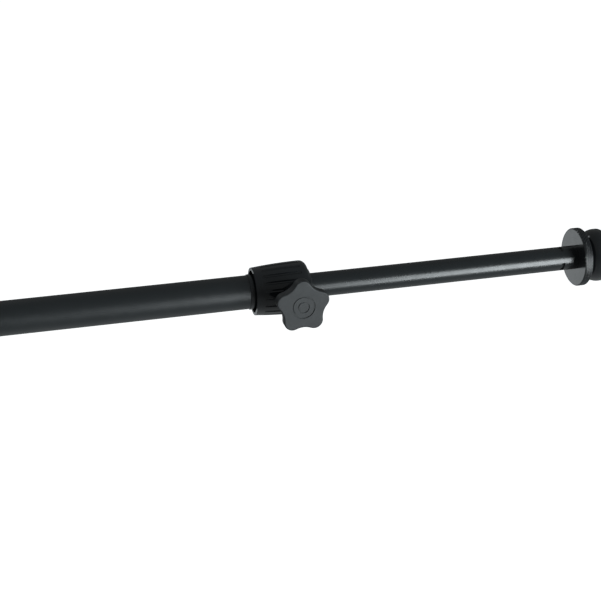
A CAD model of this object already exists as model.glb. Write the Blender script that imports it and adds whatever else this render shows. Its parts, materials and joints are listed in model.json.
"""Looks of the telescopic stand arm, in metres, in the CAD model's frame."""
import json
import math

import bpy
from mathutils import Matrix, Vector


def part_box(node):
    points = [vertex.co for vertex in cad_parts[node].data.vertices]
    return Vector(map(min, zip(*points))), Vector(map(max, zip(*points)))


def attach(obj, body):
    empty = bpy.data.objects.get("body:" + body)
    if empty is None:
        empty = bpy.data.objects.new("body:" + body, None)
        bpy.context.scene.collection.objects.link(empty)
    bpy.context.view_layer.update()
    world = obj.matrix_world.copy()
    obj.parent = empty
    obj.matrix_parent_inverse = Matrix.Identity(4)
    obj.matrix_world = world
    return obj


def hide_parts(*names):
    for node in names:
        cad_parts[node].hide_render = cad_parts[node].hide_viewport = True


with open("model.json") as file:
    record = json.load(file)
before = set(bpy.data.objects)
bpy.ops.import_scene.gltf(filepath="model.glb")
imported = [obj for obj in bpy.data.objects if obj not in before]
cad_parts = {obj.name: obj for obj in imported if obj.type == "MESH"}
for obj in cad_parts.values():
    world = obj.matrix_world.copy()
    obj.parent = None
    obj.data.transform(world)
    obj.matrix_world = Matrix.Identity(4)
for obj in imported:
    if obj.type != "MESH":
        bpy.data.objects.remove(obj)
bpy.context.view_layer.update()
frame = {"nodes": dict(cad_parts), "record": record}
NODES = frame["nodes"]
MM = 0.001


# ---------------------------------------------------------------- places read from the frame

def middle(node):
    """Centre of a CAD node's box."""
    low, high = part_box(node)
    return (low + high) / 2


ARM_Z = middle("outer_tube").z
COLLAR_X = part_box("clutch_collar")[0].x


# ---------------------------------------------------------------- camera

CAMERA_ELEVATION = math.radians(22.0)
CAMERA_TURN = math.radians(13.5)        # how far the view direction turns from +Y towards +X
CAMERA_ROLL = math.radians(1.13)
CAMERA_DISTANCE = 0.6836                # along the view, to the arm at the picture's middle
LENS = 76.67
SENSOR = 36.0
AIM_PAST_COLLAR = 0.0262                # the middle of the view, past the collar's rear face
AIM_BELOW_ARM = 0.00753


def add_camera():
    view = Vector((
        math.cos(CAMERA_ELEVATION) * math.sin(CAMERA_TURN),
        math.cos(CAMERA_ELEVATION) * math.cos(CAMERA_TURN),
        -math.sin(CAMERA_ELEVATION),
    ))
    level_right = view.cross(Vector((0, 0, 1))).normalized()
    level_up = level_right.cross(view)
    right = level_right * math.cos(CAMERA_ROLL) - level_up * math.sin(CAMERA_ROLL)
    up = level_up * math.cos(CAMERA_ROLL) + level_right * math.sin(CAMERA_ROLL)
    aim = Vector((COLLAR_X + AIM_PAST_COLLAR, 0, ARM_Z)) - up * AIM_BELOW_ARM
    data = bpy.data.cameras.new("camera")
    data.lens = LENS
    data.sensor_width = SENSOR
    camera = bpy.data.objects.new("camera", data)
    place = Matrix((right, up, -view)).transposed().to_4x4()
    place.translation = aim - view * CAMERA_DISTANCE
    camera.matrix_world = place
    bpy.context.scene.collection.objects.link(camera)
    bpy.context.scene.camera = camera


add_camera()


# ---------------------------------------------------------------- stage and light

FLOOR_Z = -0.75
FLOOR_SIZE = 160.0
FLOOR_GLOW = 0.85
ARM_LIGHT_DISTANCE = 2.0
LIGHT_TINT = (0.93, 1.0, 1.03)
WORLD_NADIR = (0.47, 0.50, 0.51)
WORLD_ZENITH = (0.22, 0.24, 0.25)
WORLD_STOPS = ((0.10, 0.33), (0.30, 0.25), (0.46, 0.16), (0.60, 0.14), (0.80, 0.20))
WORLD_TINT = (0.94, 0.99, 1.0)


def add_floor():
    """A pale floor, lit by itself so that it stays even under the arm."""
    bpy.ops.mesh.primitive_plane_add(size=FLOOR_SIZE, location=(0, 0, FLOOR_Z))
    floor = bpy.context.object
    floor.name = "floor"
    floor.visible_glossy = False
    floor.visible_diffuse = False
    material = bpy.data.materials.new("floor_paper")
    material.use_nodes = True
    shader = material.node_tree.nodes["Principled BSDF"]
    shader.inputs["Base Color"].default_value = (0.9, 0.9, 0.9, 1)
    shader.inputs["Roughness"].default_value = 0.9
    shader.inputs["Specular IOR Level"].default_value = 0.0
    shader.inputs["Emission Color"].default_value = (1, 1, 1, 1)
    shader.inputs["Emission Strength"].default_value = FLOOR_GLOW
    floor.data.materials.append(material)


def add_world():
    """Grey above and below, and darker level with the arm, as in a dim studio.

    A stop's place runs from 0, straight down, to 1, straight up.
    """
    world = bpy.data.worlds.new("studio")
    bpy.context.scene.world = world
    world.use_nodes = True
    nodes = world.node_tree.nodes
    links = world.node_tree.links
    coordinate = nodes.new("ShaderNodeTexCoord")
    split = nodes.new("ShaderNodeSeparateXYZ")
    ranger = nodes.new("ShaderNodeMapRange")
    ramp = nodes.new("ShaderNodeValToRGB")
    ranger.inputs["From Min"].default_value = -1.0
    ranger.inputs["From Max"].default_value = 1.0
    links.new(coordinate.outputs["Generated"], split.inputs[0])
    links.new(split.outputs["Z"], ranger.inputs["Value"])
    links.new(ranger.outputs["Result"], ramp.inputs[0])
    links.new(ramp.outputs[0], nodes["Background"].inputs["Color"])
    nodes["Background"].inputs["Strength"].default_value = 1.0
    stops = ramp.color_ramp.elements
    stops[0].position = 0.0
    stops[0].color = (*WORLD_NADIR, 1)
    stops[1].position = 1.0
    stops[1].color = (*WORLD_ZENITH, 1)
    for place, shade in WORLD_STOPS:
        stop = stops.new(place)
        stop.color = (*(c * shade for c in WORLD_TINT), 1)


def softbox(name, azimuth, elevation, width, height, radiance):
    """Soft light aimed at the collar: azimuth from -Y towards +X, both angles in degrees."""
    turn = math.radians(azimuth)
    rise = math.radians(elevation)
    outward = Vector((
        math.sin(turn) * math.cos(rise),
        -math.cos(turn) * math.cos(rise),
        math.sin(rise),
    ))
    data = bpy.data.lights.new(name, "AREA")
    data.shape = "RECTANGLE"
    data.size = width
    data.size_y = height
    data.energy = radiance * width * height * math.pi
    data.color = LIGHT_TINT
    lamp = bpy.data.objects.new(name, data)
    lamp.location = Vector((COLLAR_X, 0, ARM_Z)) + outward * ARM_LIGHT_DISTANCE
    lamp.rotation_euler = (-outward).to_track_quat("-Z", "Y").to_euler()
    lamp.visible_camera = False
    bpy.context.scene.collection.objects.link(lamp)


add_floor()
add_world()
softbox("right_softbox", 35.0, -7.0, 1.1, 1.40, 14.0)
softbox("left_softbox", -55.0, -3.0, 0.35, 0.5, 9.0)
softbox("rear_panel", -159.0, -22.8, 0.55, 0.55, 1.1)
softbox("rear_softbox", -148.0, 38.0, 0.5, 0.5, 4.0)

bpy.context.scene.view_settings.view_transform = "Standard"


# ---------------------------------------------------------------- materials

COAT_MOTTLE = 90.0              # features per metre of the coats' change of colour
COAT_PATCHES = 240.0            # and of their change of gloss
COAT_UNEVEN = 0.03              # how far a coat's roughness wanders either way
METAL_MOTTLE = 150.0
METAL_LINES = 500.0
METAL_LINE_DEPTH = 0.01 * MM
LINES_ROUND_ARM = (1.0, 0.2, 0.2)


def shader_material(name, color, roughness, metallic=0.0):
    """A principled material and the handles that the makers below add their detail to."""
    material = bpy.data.materials.new(name)
    material.use_nodes = True
    nodes = material.node_tree.nodes
    links = material.node_tree.links
    shader = nodes["Principled BSDF"]
    shader.inputs["Base Color"].default_value = (*color, 1)
    shader.inputs["Roughness"].default_value = roughness
    shader.inputs["Metallic"].default_value = metallic
    return material, nodes, links, shader


def object_noise(nodes, links, scale, detail=3.0, stretch=(1, 1, 1)):
    """Noise in the piece's own space; scale counts features per metre."""
    coordinate = nodes.new("ShaderNodeTexCoord")
    mapping = nodes.new("ShaderNodeMapping")
    mapping.inputs["Scale"].default_value = stretch
    noise = nodes.new("ShaderNodeTexNoise")
    noise.inputs["Scale"].default_value = scale
    noise.inputs["Detail"].default_value = detail
    links.new(coordinate.outputs["Object"], mapping.inputs["Vector"])
    links.new(mapping.outputs["Vector"], noise.inputs["Vector"])
    return noise.outputs["Fac"]


def spread(nodes, links, value, low, high):
    """Maps a noise value to the range low to high."""
    ranger = nodes.new("ShaderNodeMapRange")
    ranger.inputs["From Min"].default_value = 0.3
    ranger.inputs["From Max"].default_value = 0.7
    ranger.inputs["To Min"].default_value = low
    ranger.inputs["To Max"].default_value = high
    links.new(value, ranger.inputs["Value"])
    return ranger.outputs["Result"]


def add_bump(nodes, links, shader, height, distance):
    bump = nodes.new("ShaderNodeBump")
    bump.inputs["Distance"].default_value = distance
    links.new(height, bump.inputs["Height"])
    links.new(bump.outputs["Normal"], shader.inputs["Normal"])


def tint(nodes, links, shader, value, dark, light):
    """Lets the colour wander between two near shades."""
    mix = nodes.new("ShaderNodeMix")
    mix.data_type = "RGBA"
    mix.inputs["A"].default_value = (*dark, 1)
    mix.inputs["B"].default_value = (*light, 1)
    links.new(value, mix.inputs["Factor"])
    links.new(mix.outputs["Result"], shader.inputs["Base Color"])


def coated(name, dark, light, roughness, grain, grain_depth):
    """Painted or powder-coated metal, or moulded plastic: fine grain and uneven gloss."""
    material, nodes, links, shader = shader_material(name, dark, roughness)
    mottle = object_noise(nodes, links, COAT_MOTTLE, 4.0)
    tint(nodes, links, shader, mottle, dark, light)
    patches = object_noise(nodes, links, COAT_PATCHES, 5.0)
    gloss = spread(nodes, links, patches, roughness - COAT_UNEVEN, roughness + COAT_UNEVEN)
    links.new(gloss, shader.inputs["Roughness"])
    add_bump(nodes, links, shader, object_noise(nodes, links, grain, 2.0), grain_depth)
    return material


def bare_metal(name, color, roughness):
    """Turned or plated metal with fine lines round the arm."""
    material, nodes, links, shader = shader_material(name, color, roughness, metallic=1.0)
    lines = object_noise(nodes, links, METAL_LINES, 3.0, stretch=LINES_ROUND_ARM)
    gloss = spread(nodes, links, lines, roughness - 0.08, roughness + 0.10)
    links.new(gloss, shader.inputs["Roughness"])
    mottle = object_noise(nodes, links, METAL_MOTTLE, 4.0)
    tint(nodes, links, shader, mottle, tuple(0.8 * c for c in color), color)
    add_bump(nodes, links, shader, lines, METAL_LINE_DEPTH)
    return material


# slot: darker colour, lighter colour, roughness, grains per metre, depth of the grain
COATS = {
    "cast_black": ((0.012, 0.013, 0.014), (0.020, 0.021, 0.022), 0.48, 2600.0, 0.08 * MM),
    "tube_satin": ((0.007, 0.009, 0.010), (0.010, 0.012, 0.013), 0.36, 3500.0, 0.01 * MM),
    "tube_gloss": ((0.007, 0.009, 0.010), (0.010, 0.012, 0.013), 0.29, 700.0, 0.0008 * MM),
    "collar_plastic": ((0.005, 0.006, 0.007), (0.008, 0.009, 0.010), 0.13, 1500.0, 0.001 * MM),
    "knob_plastic": ((0.006, 0.007, 0.008), (0.008, 0.010, 0.011), 0.62, 5000.0, 0.02 * MM),
    "ring_metal": ((0.008, 0.009, 0.010), (0.012, 0.013, 0.014), 0.16, 1500.0, 0.001 * MM),
    "nylon": ((0.010, 0.011, 0.012), (0.016, 0.017, 0.018), 0.30, 4000.0, 0.01 * MM),
    "fibre": ((0.12, 0.075, 0.045), (0.18, 0.12, 0.075), 0.8, 1800.0, 0.1 * MM),
}

# slot: colour, roughness
METALS = {
    "steel": ((0.55, 0.56, 0.57), 0.30),
    "brass": ((0.72, 0.52, 0.22), 0.28),
}

MATERIALS = {name: coated(name, *look) for name, look in COATS.items()}
for name, look in METALS.items():
    MATERIALS[name] = bare_metal(name, *look)

SLOT_OF = {part["node"]: part["material_slot"] for part in frame["record"]["subparts"]}

for node_name, node in NODES.items():
    node.data.materials.clear()
    node.data.materials.append(MATERIALS[SLOT_OF[node_name]])


# ---------------------------------------------------------------- turned pieces

def piece_from_rows(name, rows, slot_name, body, node):
    """Closed piece from rows of points that run round an axis.

    Each row has the same number of points.  The last row joins the first, so the rows go all the
    way round the section of a ring.
    """
    count = len(rows[0])
    vertices = [point for row in rows for point in row]
    faces = []
    for j in range(len(rows)):
        after = (j + 1) % len(rows)
        for i in range(count):
            nextward = (i + 1) % count
            faces.append((j * count + i, j * count + nextward, after * count + nextward, after * count + i))
    mesh = bpy.data.meshes.new(name)
    mesh.from_pydata(vertices, [], faces)
    mesh.validate()
    mesh.update()
    piece = bpy.data.objects.new(name, mesh)
    bpy.context.scene.collection.objects.link(piece)
    mesh.materials.append(MATERIALS[slot_name])
    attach(piece, body)
    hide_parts(node)
    return piece


def smooth_by_angle(piece, degrees):
    """Smooth shading, with edges sharper than the angle kept crisp."""
    mesh = piece.data
    mesh.shade_smooth()
    mesh.set_sharp_from_angle(angle=math.radians(degrees))


def groove(phase):
    """Depth of a row of V grooves: 0 on the lands between them, 1 at the bottom of a groove."""
    return max(0.0, 1.0 - 4.0 * abs(phase - round(phase)))


RUNNING = 0.05 * MM             # radial clearance of the ring's two bores
RING_LIP = 1.0 * MM             # length of the close bore, round the tube
RING_CHAMFER = 0.50 * MM
TEETH = 56
STEPS_PER_TOOTH = 8
KNURL_DEPTH = 0.42 * MM
CROSS_DEPTH = 0.3               # of the crossing grooves, as a share of the main ones
KNURL_LEAN = math.radians(45.0)
RIM_ROWS = 26
FACE_ROWS = 6
KNURL_EDGE = 12.0               # degrees between facets above which an edge stays crisp


def half_height(node):
    """Outer radius of a round CAD node that lies along the arm."""
    low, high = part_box(node)
    return (high.z - low.z) / 2


def between(start, end, count):
    """Evenly spaced numbers from start to end."""
    return [start + (end - start) * k / (count - 1) for k in range(count)]


def ring_section(low, high, outer):
    """The ring's section, as (x, radius, knurled), from its lip over the rim to the threaded bore."""
    tube_bore = half_height("inner_tube") + RUNNING
    thread_bore = half_height("end_stud") + RUNNING
    shoulder = outer - RING_CHAMFER
    section = [(low + RING_LIP, tube_bore, False)]
    section += [(low, r, False) for r in between(tube_bore, shoulder, FACE_ROWS)]
    section += [(x, outer, True) for x in between(low + RING_CHAMFER, high - RING_CHAMFER, RIM_ROWS)]
    section += [(high, r, False) for r in between(shoulder, thread_bore, FACE_ROWS)]
    section.append((low + RING_LIP, thread_bore, False))
    return section


def knurled_ring():
    """The lock ring with its knurl: two families of crossing grooves, one deeper than the other."""
    low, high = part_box("lock_ring")
    outer = half_height("lock_ring")
    pitch = 2 * math.pi * outer / TEETH
    count = TEETH * STEPS_PER_TOOTH
    rows = []
    for x, radius, knurled in ring_section(low.x, high.x, outer):
        along = (x - low.x) * math.tan(KNURL_LEAN) / pitch
        row = []
        for i in range(count):
            turn = 2 * math.pi * i / count
            step = i / STEPS_PER_TOOTH
            cut = max(groove(step + along), CROSS_DEPTH * groove(step - along)) if knurled else 0.0
            r = radius - KNURL_DEPTH * cut
            row.append((x, r * math.cos(turn), ARM_Z + r * math.sin(turn)))
        rows.append(row)
    ring = piece_from_rows("knurled_lock_ring", rows, "ring_metal", "ring", "lock_ring")
    smooth_by_angle(ring, KNURL_EDGE)


knurled_ring()
